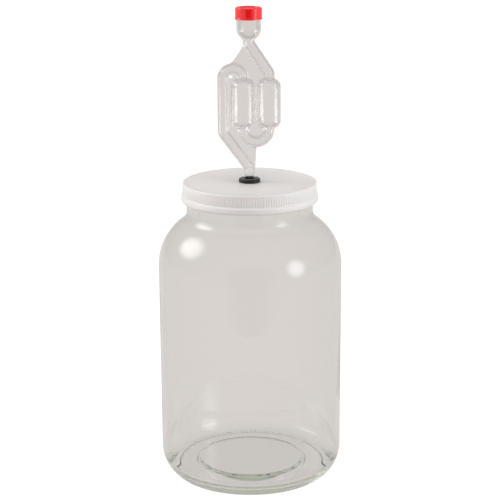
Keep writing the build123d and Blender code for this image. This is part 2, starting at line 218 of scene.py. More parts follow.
def jar_profile():
    """Up the outside of the jar from the middle of its underside, then down the inside."""
    heel_centre = JAR_RADIUS - HEEL_RADIUS
    heel_low = -math.degrees(math.asin(HEEL_TOP_Z / HEEL_RADIUS))
    bearing_edge = heel_centre + HEEL_RADIUS * math.cos(math.radians(heel_low))
    bearing_inner = bearing_edge - BEARING_WIDTH
    inner_radius = JAR_RADIUS - GLASS_WALL
    floor_edge = inner_radius - FLOOR_CORNER_RADIUS
    outer, outer_z = shoulder(SHOULDER_RADIUS, NECK_RADIUS, NECK_FILLET, 27)
    inner, inner_z = shoulder(
        SHOULDER_RADIUS - GLASS_WALL, MOUTH_RADIUS, NECK_FILLET + NECK_RADIUS - MOUTH_RADIUS, 24
    )
    push_up_top = (PUSH_UP_RADIUS - PUSH_UP_SLOPE / 2, PUSH_UP_HEIGHT)
    push_up_foot = (PUSH_UP_RADIUS + PUSH_UP_SLOPE / 2, BASE_RECESS)
    thread_low, thread_high = THREAD_ZONE
    rim_low = RIM_Z - RIM_ROUND
    raised_floor_z = FLOOR_Z + PUSH_UP_HEIGHT - BASE_RECESS
    return np.vstack((
        line((0, PUSH_UP_HEIGHT), push_up_top, 5),
        slope(push_up_top, push_up_foot, 10),
        line(push_up_foot, (bearing_inner - RECESS_SLOPE, BASE_RECESS), 5),
        slope((bearing_inner - RECESS_SLOPE, BASE_RECESS), (bearing_inner, 0), 5),
        line((bearing_inner, 0), (bearing_edge, 0), 6),
        arc((heel_centre, HEEL_TOP_Z), HEEL_RADIUS, heel_low, 0, 16),
        line((JAR_RADIUS, HEEL_TOP_Z), (JAR_RADIUS, SHOULDER_Z), 16),
        outer,
        line((NECK_RADIUS, outer_z), (NECK_RADIUS, thread_low), 3),
        line((NECK_RADIUS, thread_low), (NECK_RADIUS, thread_high), 30),
        arc((NECK_RADIUS - RIM_ROUND, rim_low), RIM_ROUND, 0, 90, 5),
        line((NECK_RADIUS - RIM_ROUND, RIM_Z), (MOUTH_RADIUS + RIM_ROUND, RIM_Z), 2),
        arc((MOUTH_RADIUS + RIM_ROUND, rim_low), RIM_ROUND, 90, 180, 5),
        line((MOUTH_RADIUS, rim_low), (MOUTH_RADIUS, inner_z), 5),
        inner[::-1],
        line((inner_radius, SHOULDER_Z), (inner_radius, FLOOR_Z + FLOOR_CORNER_RADIUS), 20)[1:],
        arc((floor_edge, FLOOR_Z + FLOOR_CORNER_RADIUS), FLOOR_CORNER_RADIUS, 0, -90, 10),
        line((floor_edge, FLOOR_Z), (push_up_foot[0], FLOOR_Z), 5),
        slope((push_up_foot[0], FLOOR_Z), (push_up_top[0], raised_floor_z), 12),
        line((push_up_top[0], raised_floor_z), (0, raised_floor_z), 6),
        ((0, raised_floor_z),),
    ))


def glass_ripple(turn, height):
    """Slow unevenness of blown glass, from -1 to 1, the same each run."""
    angle = 2 * math.pi * turn
    return (
        np.sin(3 * angle + 0.045 * height) + np.sin(5 * angle - 0.031 * height + 1.3)
        + np.sin(2 * angle + 0.083 * height + 2.1)
    ) / 3


def carve_jar(turn, radius, height):
    """Adds the thread, the mould seams, the stippled bearing ring and the wall's ripple."""
    outside_neck = (abs(radius - NECK_RADIUS) < SAME) & (height > THREAD_ZONE[0] - SAME)
    thread = ridge(turn, height, GLASS_THREAD_Z, 0, GLASS_THREAD_HALVES)
    new_radius = radius + outside_neck * thread * (GLASS_THREAD_CREST - NECK_RADIUS)
    wall = (height > HEEL_TOP_Z) & (height < SHOULDER_Z + SAME)
    inner_wall = wall & (radius < JAR_RADIUS - GLASS_WALL / 2)
    fade_in = np.clip((height - HEEL_TOP_Z) / GLASS_WAVE_FADE, 0, 1)
    fade_out = np.clip((SHOULDER_Z - height) / GLASS_WAVE_FADE, 0, 1)
    wave = fade_in * fade_out * GLASS_WAVE * glass_ripple(turn, height)
    new_radius = new_radius + inner_wall * wave
    on_seam = np.abs((turn * 2 + 0.5) % 1 - 0.5) < SAME
    outer_wall = wall & (radius > JAR_RADIUS - SAME)
    new_radius = new_radius + (on_seam & outer_wall) * SEAM_HEIGHT
    on_floor = height < SAME
    off_middle = np.abs(radius - np.mean(radius[on_floor]))
    bearing = on_floor & (off_middle < BEARING_WIDTH / 2 - STIPPLE_MARGIN)
    mark = np.clip(np.cos(2 * math.pi * STIPPLE_COUNT * turn), 0, 1)
    return new_radius, height + bearing * mark * STIPPLE_DEPTH


# ---------------------------------------------------------------- lid, grommet and cap

def lid_profile():
    """Out along the lid's underside from the hole, down its bore, up its side and back to the hole."""
    flare_z = RIB_BOTTOM_Z - LID_SKIRT_FLARE
    underside = LID_FACE_Z - LID_PLATE
    rim_inner = LID_BAND_RADIUS - LID_RIM_WIDTH
    thread_low, thread_high = LID_THREAD_ZONE
    skirt_centre = (LID_SKIRT_RADIUS - LID_SKIRT_ROUND, LID_BOTTOM_Z + LID_SKIRT_ROUND)
    edge_centre = (LID_BAND_RADIUS - LID_EDGE_ROUND, LID_TOP_Z - LID_EDGE_ROUND)
    rim_foot = (rim_inner, LID_FACE_Z)
    band_z = RIB_TOP_Z + RIB_STEP
    ribs_low, ribs_high = RIB_BOTTOM_Z + RIB_END, RIB_TOP_Z - RIB_END
    hole_mouth = (GROMMET_HOLE_RADIUS + HOLE_CHAMFER, LID_FACE_Z)
    hole_top = (GROMMET_HOLE_RADIUS, LID_FACE_Z - HOLE_CHAMFER)
    return np.vstack((
        line((GROMMET_HOLE_RADIUS, underside), (LID_BORE_RADIUS, underside), 4),
        line((LID_BORE_RADIUS, underside), (LID_BORE_RADIUS, thread_high), 2),
        line((LID_BORE_RADIUS, thread_high), (LID_BORE_RADIUS, thread_low), 20),
        line((LID_BORE_RADIUS, LID_LEAD_IN_Z), (LID_LEAD_IN_RADIUS, LID_BOTTOM_Z), 2),
        line((LID_LEAD_IN_RADIUS, LID_BOTTOM_Z), (skirt_centre[0], LID_BOTTOM_Z), 1),
        arc(skirt_centre, LID_SKIRT_ROUND, -90, 0, 7),
        line((LID_SKIRT_RADIUS, skirt_centre[1]), (LID_SKIRT_RADIUS, flare_z), 2),
        slope((0, LID_SKIRT_RADIUS), (LID_SKIRT_FLARE, RIB_VALLEY_RADIUS), 6)[:, ::-1]
        + np.array((0, flare_z)),
        line((RIB_VALLEY_RADIUS, RIB_BOTTOM_Z), (RIB_VALLEY_RADIUS, ribs_low), 2),
        line((RIB_VALLEY_RADIUS, ribs_low), (RIB_VALLEY_RADIUS, ribs_high), 3),
        line((RIB_VALLEY_RADIUS, ribs_high), (RIB_VALLEY_RADIUS, RIB_TOP_Z), 2),
        line((RIB_VALLEY_RADIUS, RIB_TOP_Z), (LID_BAND_RADIUS, band_z), 2),
        line((LID_BAND_RADIUS, band_z), (LID_BAND_RADIUS, edge_centre[1]), 2),
        arc(edge_centre, LID_EDGE_ROUND, 0, 90, 6),
        line((edge_centre[0], LID_TOP_Z), (rim_inner + LID_RIM_SLOPE, LID_TOP_Z), 2),
        slope((rim_inner + LID_RIM_SLOPE, LID_TOP_Z), rim_foot, 4),
        line(rim_foot, hole_mouth, 6),
        line(hole_mouth, hole_top, 1),
        line(hole_top, (GROMMET_HOLE_RADIUS, underside), 2),
    ))


def carve_lid(turn, radius, height):
    """Adds the ribs outside and the thread inside."""
    ribbed = np.abs(radius - RIB_VALLEY_RADIUS) < SAME
    across = (turn * RIB_COUNT) % 1 / RIB_FILL
    rib = np.sqrt(np.clip(1 - (2 * across - 1) ** 2, 0, 1))
    ends = np.clip(np.minimum(height - RIB_BOTTOM_Z, RIB_TOP_Z - height) / RIB_END, 0, 1)
    new_radius = radius + ribbed * rib * ends * (RIB_CREST_RADIUS - RIB_VALLEY_RADIUS)
    bored = np.abs(radius - LID_BORE_RADIUS) < SAME
    thread = ridge(turn, height, LID_THREAD_Z, LID_THREAD_START_TURN, LID_THREAD_HALVES)
    return new_radius - bored * thread * (LID_BORE_RADIUS - LID_THREAD_CREST), height


def grommet_profile():
    """Ring with a rounded flange above and below the lid's plate, and a soft lip at its bore."""
    underside = LID_FACE_Z - LID_PLATE
    top, foot = LID_FACE_Z + GROMMET_TOP, underside - GROMMET_FOOT
    edge = GROMMET_FLANGE_RADIUS - GROMMET_ROUND
    mouth = GROMMET_BORE + GROMMET_LIP
    seat_edge = GROMMET_FLANGE_RADIUS - GROMMET_SEAT_ROUND
    seat_z, side_top = LID_FACE_Z + GROMMET_SEAT_ROUND, top - GROMMET_ROUND
    return np.vstack((
        arc((mouth, foot + GROMMET_LIP), GROMMET_LIP, 180, 270, 4),
        line((mouth, foot), (edge, foot), 3),
        arc((edge, foot + GROMMET_ROUND), GROMMET_ROUND, -90, 0, 8),
        arc((edge, underside - GROMMET_ROUND), GROMMET_ROUND, 0, 90, 8),
        line((edge, underside), (GROMMET_NECK, underside), 2),
        line((GROMMET_NECK, underside), (GROMMET_NECK, LID_FACE_Z), 2),
        line((GROMMET_NECK, LID_FACE_Z), (seat_edge, LID_FACE_Z), 3),
        arc((seat_edge, seat_z), GROMMET_SEAT_ROUND, -90, 0, 3),
        line((GROMMET_FLANGE_RADIUS, seat_z), (GROMMET_FLANGE_RADIUS, side_top), 2),
        arc((edge, side_top), GROMMET_ROUND, 0, 90, 8),
        line((edge, top), (mouth, top), 3),
        arc((mouth, top - GROMMET_LIP), GROMMET_LIP, 90, 180, 4),
        line((GROMMET_BORE, top - GROMMET_LIP), (GROMMET_BORE, foot + GROMMET_LIP), 4),
    ))


def cap_profile():
    """Out under the cap's plate and down its bore, then up its beaded side and over its dished top."""
    bore = CUP_RADIUS + CAP_BORE_CLEARANCE
    bore_low, bore_mouth = CAP_BOTTOM_Z + CAP_BORE_CHAMFER, bore + CAP_BORE_CHAMFER
    side_low = CAP_BOTTOM_Z + CAP_BEAD_HEIGHT + CAP_BEAD_GAP
    plate_top = CUP_RIM_Z + CAP_PLATE
    bead_middle = CAP_BOTTOM_Z + CAP_BEAD_HEIGHT / 2
    edge_centre = (CAP_RADIUS - CAP_EDGE_ROUND, CAP_TOP_Z - CAP_EDGE_ROUND)
    dish_foot = (CAP_DISH_RADIUS - CAP_DISH_SLOPE, plate_top)
    bead = np.linspace(-1, 1, 9)
    bead_points = np.column_stack((
        CAP_RADIUS + CAP_BEAD_STANDOUT * (1 - bead**2),
        bead_middle + CAP_BEAD_HEIGHT / 2 * bead,
    ))
    return np.vstack((
        line((0, CUP_RIM_Z), (bore, CUP_RIM_Z), 3),
        line((bore, CUP_RIM_Z), (bore, bore_low), 4),
        line((bore, bore_low), (bore_mouth, CAP_BOTTOM_Z), 2),
        line((bore_mouth, CAP_BOTTOM_Z), (CAP_RADIUS, CAP_BOTTOM_Z), 1),
        bead_points,
        line((CAP_RADIUS, side_low), (CAP_RADIUS, edge_centre[1]), 4),
        arc(edge_centre, CAP_EDGE_ROUND, 0, 90, 10),
        slope((CAP_DISH_RADIUS, CAP_TOP_Z), dish_foot, 6),
        line(dish_foot, (0, plate_top), 4),
        ((0, plate_top),),
    ))


def apply_modifiers(obj):
    """Turns what an object's modifiers make into its plain mesh."""
    bpy.context.view_layer.update()
    shaped = obj.evaluated_get(bpy.context.evaluated_depsgraph_get())
    obj.data = bpy.data.meshes.new_from_object(shaped)
    obj.modifiers.clear()


def drill(obj, radius, circle_radius, count, middle_z, depth):
    """Cuts a ring of small upright holes through an object."""
    cutters = []
    for hole in range(count):
        angle = 2 * math.pi * hole / count
        profile = np.array(((0, -depth), (radius, -depth), (radius, depth), (0, depth)))
        cutter = turned(f"{obj.name}_cutter_{hole}", profile, VENT_SEGMENTS)
        x, y = circle_radius * math.cos(angle), circle_radius * math.sin(angle)
        cutter.location = Vector((x, y, middle_z)) * MM
        modifier = obj.modifiers.new("hole", "BOOLEAN")
        modifier.operation, modifier.solver, modifier.object = "DIFFERENCE", "EXACT", cutter
        cutters.append(cutter)
    apply_modifiers(obj)
    for cutter in cutters:
        bpy.data.objects.remove(cutter)


# ---------------------------------------------------------------- airlock, as distances

def blend_in(a, b, size):
    """Union of two distance fields with a fillet of about that size."""
    share = np.clip(size - np.abs(a - b), 0, None) / size
    return np.minimum(a, b) - share**2 * size / 4


def bent_path(corners):
    """Points along straight runs whose corners are rounded to BEND_RADIUS."""
    points = [np.array(corners[0], float)]
    for before, corner, after in zip(corners, corners[1:], corners[2:]):
        corner = np.array(corner, float)
        back = np.array(before) - corner
        on = np.array(after) - corner
        back, on = back / np.linalg.norm(back), on / np.linalg.norm(on)
        half = math.acos(np.clip(back @ on, -1, 1)) / 2
        middle = (back + on) / np.linalg.norm(back + on)
        centre = corner + middle * BEND_RADIUS / math.sin(half)
        start = corner + back * BEND_RADIUS / math.tan(half) - centre
        end = corner + on * BEND_RADIUS / math.tan(half) - centre
        for share in np.linspace(0, 1, 7):
            spoke = start * (1 - share) + end * share
            points.append(centre + spoke / np.linalg.norm(spoke) * BEND_RADIUS)
    return points + [np.array(corners[-1], float)]


def half_loop(x0, x1, z, up):
    """Points round half a turn from (x0, z) to (x1, z), above or below."""
    middle, radius = (x0 + x1) / 2, abs(x1 - x0) / 2
    angle = np.linspace(math.pi, 0, 25)
    return [np.array((middle + radius * math.cos(a), z + up * radius * math.sin(a))) for a in angle]


class Field:
    """Grid of points in millimetres round the airlock, and distances from shapes on it."""

    def __init__(self, low, high):
        self.low = np.array(low, float)
        axes = [np.arange(a, b + VOXEL, VOXEL, dtype=np.float32) for a, b in zip(low, high)]
        self.x, self.y, self.z = np.meshgrid(*axes, indexing="ij", sparse=True)
        self.flat_x, self.flat_z = np.meshgrid(axes[0], axes[2], indexing="ij")

    def squared_distance(self, path):
        """Square of the distance in the XZ plane to the nearest straight run of a path."""
        nearest = np.full(self.flat_x.shape, np.inf, np.float32)
        for a, b in zip(path, path[1:]):
            run = b - a
            share = ((self.flat_x - a[0]) * run[0] + (self.flat_z - a[1]) * run[1]) / (run @ run)
            share = np.clip(share, 0, 1)
            off_x = self.flat_x - a[0] - share * run[0]
            off_z = self.flat_z - a[1] - share * run[1]
            nearest = np.minimum(nearest, off_x**2 + off_z**2)
        return nearest

    def tube(self, path, radius):
        """Round tube along a path in the XZ plane."""
        return np.sqrt(self.squared_distance(path)[:, None, :] + self.y**2) - radius

    def rod(self, radius, bottom, top):
        """Upright round rod on the Z axis."""
        across = np.sqrt(self.x**2 + self.y**2) - radius
        return np.maximum(across, np.maximum(bottom - self.z, self.z - top))

    def chamber(self, x, inset):
        """Upright chamber with round ends."""
        low, high = CHAMBER_WALL_Z
        step = CHAMBER_RADIUS - TUBE_RADIUS
        end_radius = (step**2 + CHAMBER_TAPER**2) / (2 * step)
        across = np.sqrt((self.x - x) ** 2 + self.y**2) - (CHAMBER_RADIUS - end_radius)
        along = np.abs(self.z - (low + high) / 2) - (high - low) / 2
        outside = np.sqrt(np.clip(across, 0, None) ** 2 + np.clip(along, 0, None) ** 2)
        return outside + np.minimum(np.maximum(across, along), 0) - (end_radius - inset)

    def cup(self, inset, rim_z):
        """Open cup whose round bowl draws in to the riser."""
        step, drop = CUP_RADIUS - RISER_RADIUS, BOWL_TOP_Z - BOWL_BOTTOM_Z
        bowl_radius = (step**2 + drop**2) / (2 * step)
        across = np.sqrt(self.x**2 + self.y**2) + bowl_radius - CUP_RADIUS
        below = np.clip(BOWL_TOP_Z - self.z, 0, None)
        wall = np.sqrt(across**2 + below**2) - (bowl_radius - inset)
        bottom = BOWL_BOTTOM_Z + inset / 2 - self.z
        return np.maximum(np.maximum(wall, bottom), self.z - rim_z)

    def sheet(self, outline, thickness):
        """Flat sheet in the XZ plane with a rounded edge."""
        closed = np.vstack((outline, outline[:1]))
        inside = np.zeros(self.flat_x.shape, bool)
        for a, b in zip(closed, closed[1:]):
            if a[1] != b[1]:
                crosses = (a[1] > self.flat_z) != (b[1] > self.flat_z)
                at_x = a[0] + (self.flat_z - a[1]) * (b - a)[0] / (b - a)[1]
                inside ^= crosses & (self.flat_x < at_x)
        edge = np.where(inside, -1, 1) * np.sqrt(self.squared_distance(closed))
        outside = np.clip(edge, 0, None)[:, None, :]
        return np.sqrt(outside**2 + self.y**2) - thickness / 2

    def surface(self, name, distance):
        """Object made of the field's zero surface."""
        band = VOXEL * VOXEL_BAND
        grid = openvdb.FloatGrid(band)
        grid.copyFromArray(np.ascontiguousarray(np.clip(distance, -band, band), np.float32))
        points, _, quads = grid.convertToPolygons(isovalue=0.0, adaptivity=0.0)
        points = (np.array(points) * VOXEL + self.low) * MM
        obj = smooth_object(name, points.tolist(), np.array(quads)[:, ::-1].tolist(), 180)
        relax = obj.modifiers.new("relax", "SMOOTH")
        relax.factor, relax.iterations = RELAX_SHARE, RELAX_ROUNDS
        apply_modifiers(obj)
        return obj


def passage(field, inset, run_out):
    """The airlock's whole tube run, inset from its outside, with its open ends run out past it."""
    left_loop = half_loop(LEFT_TUBE_X, LEFT_CHAMBER_X, UPPER_LOOP_Z, 1)
    to_left = bent_path((
        (0, STEM_TOP_Z), (0, LOWER_BEND_Z), (LEFT_TUBE_X, LEFT_BEND_Z),
        (LEFT_TUBE_X, UPPER_LOOP_Z),
    ))[:-1] + left_loop + [np.array((LEFT_CHAMBER_X, CHAMBER_WALL_Z[1]))]
    between = (
        [np.array((LEFT_CHAMBER_X, CHAMBER_WALL_Z[0]))]
        + half_loop(LEFT_CHAMBER_X, RIGHT_CHAMBER_X, LOWER_LOOP_Z, -1)
        + [np.array((RIGHT_CHAMBER_X, CHAMBER_WALL_Z[0]))]
    )
    to_cup = bent_path((
        (RIGHT_CHAMBER_X, CHAMBER_WALL_Z[1]), (RIGHT_CHAMBER_X, RISER_BEND_Z),
        (0, NECK_BEND_Z), (0, BOWL_BOTTOM_Z + RISER_OVERLAP),
    ))
    whole = field.rod(STEM_RADIUS - inset, STEM_TIP_Z - run_out, STEM_TOP_Z + 2)
    for shape in (
        field.tube(to_left, TUBE_RADIUS - inset), field.chamber(LEFT_CHAMBER_X, inset),
        field.tube(between, TUBE_RADIUS - inset), field.chamber(RIGHT_CHAMBER_X, inset),
        field.tube(to_cup, RISER_RADIUS - inset), field.cup(inset, CUP_RIM_Z + run_out),
    ):
        whole = blend_in(whole, shape, PASSAGE_BLEND)
    return whole


def curve_through(a, b, c, steps):
    """Points on the circle through a, b and c, from a to c, without c."""
    (ax, az), (bx, bz), (cx, cz) = a, b, c
    d = 2 * (ax * (bz - cz) + bx * (cz - az) + cx * (az - bz))
    sa, sb, sc = ax**2 + az**2, bx**2 + bz**2, cx**2 + cz**2
    ux = (sa * (bz - cz) + sb * (cz - az) + sc * (az - bz)) / d
    uz = (sa * (cx - bx) + sb * (ax - cx) + sc * (bx - ax)) / d
    start, end = math.atan2(az - uz, ax - ux), math.atan2(cz - uz, cx - ux)
    turn = (end - start + math.pi) % (2 * math.pi) - math.pi
    angle = start + turn * np.linspace(0, 1, steps, endpoint=False)
    radius = math.hypot(ax - ux, az - uz)
    return np.array((ux, uz)) + radius * np.column_stack((np.cos(angle), np.sin(angle)))


def web_outline():
    """Outline of the sheet that ties the airlock's tubes and chambers together."""
    loop_radius = (RIGHT_CHAMBER_X - LEFT_CHAMBER_X) / 2
    loop_middle = LEFT_CHAMBER_X + loop_radius
    right_low, right_hollow = WEB_RIGHT_EDGE
    return np.vstack((
        curve_through(*WEB_LEFT_EDGE, 10),
        (WEB_LEFT_EDGE[2], ((LEFT_TUBE_X + LEFT_CHAMBER_X) / 2, UPPER_LOOP_Z),
         (LEFT_TUBE_X, UPPER_LOOP_Z), (LEFT_TUBE_X, LEFT_BEND_Z), (0, LOWER_BEND_Z)),
        curve_through(right_low, right_hollow, (loop_middle, LOWER_LOOP_Z - loop_radius), 14),
        arc((loop_middle, LOWER_LOOP_Z), loop_radius, -90, 0, 12),
        ((RIGHT_CHAMBER_X, LOWER_LOOP_Z), (RIGHT_CHAMBER_X, RISER_BEND_Z), (0, NECK_BEND_Z)),
    ))


def airlock(name):
    """The airlock's tubes, chambers, cup and web as one hollow moulding."""
    low, high = (np.array(corner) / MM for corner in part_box("airlock_body"))
    field = Field(low - VOXEL_MARGIN, high + VOXEL_MARGIN)
    outside = passage(field, 0, 0)
    outside = blend_in(outside, field.sheet(web_outline(), WEB_THICKNESS), WEB_BLEND)
    return field.surface(name, np.maximum(outside, -passage(field, AIRLOCK_WALL, VOXEL_MARGIN)))


# ---------------------------------------------------------------- materials

def material(name, **settings):
    """Principled material whose plain numbers and colours are set on the shader itself."""
    made = bpy.data.materials.new(name)
    made.use_nodes = True
    shader = made.node_tree.nodes["Principled BSDF"]
    for key, value in settings.items():
        shader.inputs[key.replace("_", " ")].default_value = value
    return made


def add(made, kind, links=(), **settings):
    """Adds a node to a material, world or light, sets its inputs, and links its named inputs."""
    node = made.node_tree.nodes.new(kind)
    for key, value in settings.items():
        name = key.replace("_", " ")
        if name in node.inputs:
            node.inputs[name].default_value = value
        else:
            setattr(node, key, value)
    for key, source in dict(links).items():
        made.node_tree.links.new(source, node.inputs[key])
    return node


def worked_out(made, operation, *values, use_clamp=False):
    """Result of a sum, where each value is a number or the output of another node."""
    node = add(made, "ShaderNodeMath", operation=operation, use_clamp=use_clamp)
    for socket, value in zip(node.inputs, values):
        if isinstance(value, bpy.types.NodeSocket):
            made.node_tree.links.new(value, socket)
        else:
            socket.default_value = value
    return node.outputs["Value"]


def place(made):
    """Where on the object a point is, in metres."""
    return add(made, "ShaderNodeTexCoord").outputs["Object"]


def into_shader(made, socket, source):
    """Links a node's output to a named input of the material's shader."""
    shader = made.node_tree.nodes["Principled BSDF"]
    made.node_tree.links.new(source, shader.inputs[socket])


def varied(made, source, low, high):
    """A number that runs from low to high as a pattern runs from 0 to 1."""
    return add(made, "ShaderNodeMapRange", {"Value": source}, To_Min=low, To_Max=high).outputs["Result"]


def tinted(made, source, low, high):
    """A colour that runs from low to high as a pattern runs from 0 to 1."""
    ramp = add(made, "ShaderNodeValToRGB", {"Fac": source})
    ramp.color_ramp.elements[0].position, ramp.color_ramp.elements[0].color = 0.3, (*low, 1)
    ramp.color_ramp.elements[1].position, ramp.color_ramp.elements[1].color = 0.7, (*high, 1)
    return ramp.outputs["Color"]


def noise(made, scale, detail=3.0):
    """Pattern of about scale repeats to the metre."""
    return add(
        made, "ShaderNodeTexNoise", {"Vector": place(made)}, Scale=scale, Detail=detail
    ).outputs["Fac"]


def bumps(made, layers):
    """Stacks surface relief: each layer is a pattern and its height in metres."""
    normal = None
    for pattern, height in layers:
        links = {"Height": pattern} | ({"Normal": normal} if normal else {})
        normal = add(made, "ShaderNodeBump", links, Strength=1.0, Distance=height).outputs["Normal"]
    into_shader(made, "Normal", normal)


def painted_edge_shade(made, middle, edge, blend):
    """Clear material whose colour darkens where it is seen edge-on: painted shade that draws its
    outlines.
    """
    facing = add(made, "ShaderNodeLayerWeight", Blend=blend).outputs["Facing"]
    mix = add(made, "ShaderNodeMixRGB", {"Fac": facing}, Color1=(*middle, 1), Color2=(*edge, 1))
    into_shader(made, "Base Color", mix.outputs["Color"])


def clear_glass():
    """Soda glass with slow waves in its surface, greener the deeper one looks into it."""
    made = material("jar_glass", IOR=1.5, Transmission_Weight=1.0, Roughness=0.0)
    # Painted shade: the glass's colour turns darker grey-green where it is seen edge-on.
    painted_edge_shade(made, (0.972, 0.972, 0.966), (0.78, 0.79, 0.76), 0.12)
    bumps(made, [(noise(made, 22, 1.5), 0.0001)])
    volume = add(made, "ShaderNodeVolumeAbsorption", Color=(0.50, 0.66, 0.44, 1), Density=5.0)
    output = made.node_tree.nodes["Material Output"]
    made.node_tree.links.new(volume.outputs["Volume"], output.inputs["Volume"])
    return made


def lid_plastic():
    """White moulded plastic that lets a little light in."""
    made = material("lid_plastic", Subsurface_Weight=0.12, Subsurface_Scale=0.002)
    white = tinted(made, noise(made, 35), (0.785, 0.775, 0.765), (0.81, 0.80, 0.79))
    into_shader(made, "Base Color", white)
    into_shader(made, "Roughness", varied(made, noise(made, 160), 0.3, 0.42))
    bumps(made, [(noise(made, 3200, 2), 0.00001), (noise(made, 60, 2), 0.00005)])
    return made


def seal_foam():
    """Closed-cell foam, off-white and full of small cells."""
    made = material("seal_foam", Roughness=0.85, Sheen_Weight=0.2)
    cells = add(
        made, "ShaderNodeTexVoronoi", {"Vector": place(made)}, Scale=1400.0
    ).outputs["Distance"]
    into_shader(made, "Base Color", tinted(made, cells, (0.68, 0.68, 0.65), (0.86, 0.86, 0.83)))
    bumps(made, [(cells, 0.00012), (noise(made, 90), 0.0001)])
    return made


def black_rubber():
    """Black rubber with a dull shine."""
    made = material("grommet_rubber", Specular_IOR_Level=0.45)
    black = tinted(made, noise(made, 420), (0.006, 0.0055, 0.0055), (0.014, 0.013, 0.012))
    into_shader(made, "Base Color", black)
    into_shader(made, "Roughness", varied(made, noise(made, 700), 0.24, 0.4))
    bumps(made, [(noise(made, 5200, 2), 0.000012), (noise(made, 500), 0.00004)])
    return made


def clear_plastic():
    """Thin clear plastic, which bends light little and takes its gloss from a coat."""
    made = material(
        "airlock_plastic", IOR=1.12, Transmission_Weight=1.0,
        Coat_Weight=0.65, Coat_IOR=1.5, Coat_Roughness=0.06,
    )
    # Painted shade: the plastic's colour turns grey where it is seen edge-on.
    painted_edge_shade(made, (0.99, 0.985, 0.98), (0.62, 0.61, 0.60), 0.25)
    into_shader(made, "Roughness", varied(made, noise(made, 240), 0.02, 0.06))
    bumps(made, [(noise(made, 95, 2), 0.00003)])
    return made


def red_plastic():
    """Glossy red plastic with a fine grain."""
    made = material("cap_plastic", Specular_IOR_Level=0.95)
    red = tinted(made, noise(made, 180), (0.78, 0.002, 0.004), (0.86, 0.004, 0.006))
    into_shader(made, "Base Color", red)
    into_shader(made, "Roughness", varied(made, noise(made, 600), 0.11, 0.17))
    bumps(made, [(noise(made, 2600, 2), 0.000012), (noise(made, 150), 0.00005)])
    return made


# ---------------------------------------------------------------- the object

def finish_piece(piece, made, body, node):
    """Gives a piece its material, and puts it on its body in place of a CAD node."""
    piece.data.materials.clear()
    piece.data.materials.append(made)
    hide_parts(node)
    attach(piece, body)


jar = turned("jar_glass_body", jar_profile(), JAR_SEGMENTS, carve_jar)
finish_piece(jar, clear_glass(), "jar", "glass_jar")

lid = turned("lid_ribbed_shell", lid_profile(), RIB_COUNT * RIB_SEGMENTS, carve_lid)
finish_piece(lid, lid_plastic(), "lid", "screw_lid")

grommet = turned("grommet_ring", grommet_profile(), GROMMET_SEGMENTS)
finish_piece(grommet, black_rubber(), "grommet", "grommet")

cap = turned("cap_shell", cap_profile(), CAP_SEGMENTS)
drill(cap, VENT_RADIUS, VENT_CIRCLE_RADIUS, VENT_COUNT, CUP_RIM_Z + CAP_PLATE / 2, CAP_PLATE)
finish_piece(cap, red_plastic(), "cap", "airlock_cap")

tubes = airlock("airlock_tubes")
finish_piece(tubes, clear_plastic(), "airlock", "airlock_body")

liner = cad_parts["lid_liner"]
liner.data.materials.clear()
liner.data.materials.append(seal_foam())


# ---------------------------------------------------------------- floor, light and camera

def mirrored(made):
    """1 for a ray that comes from a mirror reflection, and 0 for any other."""
    light_path = add(made, "ShaderNodeLightPath").outputs
    glossy, refracted = light_path["Is Glossy Ray"], light_path["Is Transmission Ray"]
    return worked_out(made, "SUBTRACT", glossy, refracted, use_clamp=True)


def floor_sheet(name, reflected):
    """Lit acrylic, white itself and pale grey in glass. Unreflected, a mirror looks past it."""
    made = bpy.data.materials.new(name)
    made.use_nodes = True
    made.node_tree.nodes.clear()
    seen = add(made, "ShaderNodeLightPath").outputs["Is Camera Ray"]
    colour = add(made, "ShaderNodeMixRGB", {"Fac": seen}, Color1=FLOOR_GLOW, Color2=WHITE)
    glow = add(made, "ShaderNodeEmission", {"Color": colour.outputs["Color"]}).outputs["Emission"]
    sheet = add(made, "ShaderNodeBsdfDiffuse", Color=FLOOR_SHEET).outputs["BSDF"]
    surface = add(made, "ShaderNodeAddShader", {0: sheet, 1: glow})
    if not reflected:
        nothing = add(made, "ShaderNodeBsdfTransparent").outputs["BSDF"]
        parts = {"Fac": mirrored(made), 1: surface.outputs["Shader"], 2: nothing}
        surface = add(made, "ShaderNodeMixShader", parts)
    add(made, "ShaderNodeOutputMaterial", {"Surface": surface.outputs["Shader"]})
    return made


def pale_floor():
    """Floor round the object. Reflections miss its front part and show the studio's darker gap."""
    mesh = bpy.data.meshes.new("floor")
    rows = [
        [(-FLOOR_SIZE, y, 0), (FLOOR_SIZE, y, 0)] for y in (-FLOOR_SIZE, FLOOR_FRONT_EDGE, FLOOR_SIZE)
    ]
    mesh.from_pydata(sum(rows, []), [], [(0, 1, 3, 2), (2, 3, 5, 4)])
    mesh.materials.append(floor_sheet("floor_front", reflected=False))
    mesh.materials.append(floor_sheet("floor_back", reflected=True))
    mesh.polygons[1].material_index = 1
    floor = bpy.data.objects.new("floor", mesh)
    bpy.context.scene.collection.objects.link(floor)


